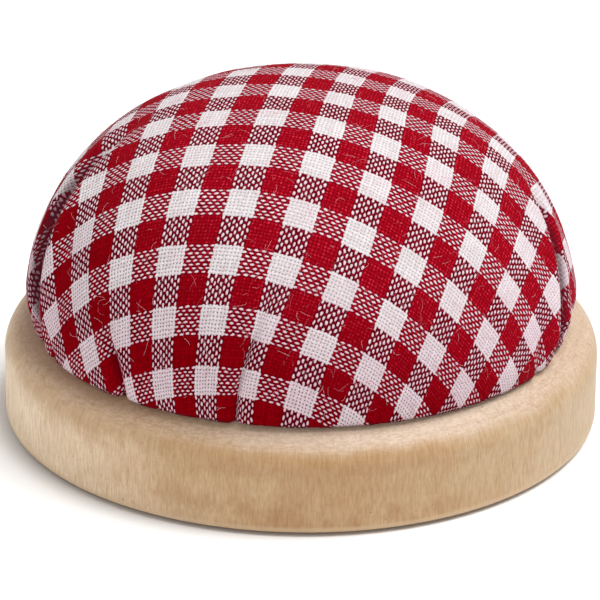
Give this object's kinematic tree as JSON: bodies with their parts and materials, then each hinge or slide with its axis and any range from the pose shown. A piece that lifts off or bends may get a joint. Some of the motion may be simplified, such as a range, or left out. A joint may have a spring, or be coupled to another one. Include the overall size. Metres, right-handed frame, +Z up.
{
  "type": "pin cushion",
  "caption": "Stuffed gingham dome held in a turned wooden dish, free-standing, for keeping sewing pins and needles to hand.",
  "frame": {"origin": "centre of the felt pad's underside, on the surface that the pin cushion stands on", "axes": "+Z up through the middle of the dome; -Y towards a person using it; the gingham's stripes run at an angle to X and Y"},
  "size_m": [0.09, 0.09, 0.0512],
  "materials": {
    "birch": "fine turned and sanded, unvarnished",
    "felt": "pressed felt",
    "zinc_steel": "bright zinc plated",
    "plywood": "sanded plywood",
    "fibre": "matt fibre stuffing",
    "calico": "plain unbleached weave",
    "gingham": "yarn-dyed plain weave in red and white checks",
    "thread": "twisted cotton"
  },
  "bodies": {
    "root": {"wood_base": "birch", "felt_pad": "felt", "screw_washer": "zinc_steel", "base_screw": "zinc_steel", "backing_board": "plywood", "filling": "fibre", "lining_bag": "calico", "gingham_cover": "gingham", "gather_thread": "thread"}
  },
  "joints": []
}
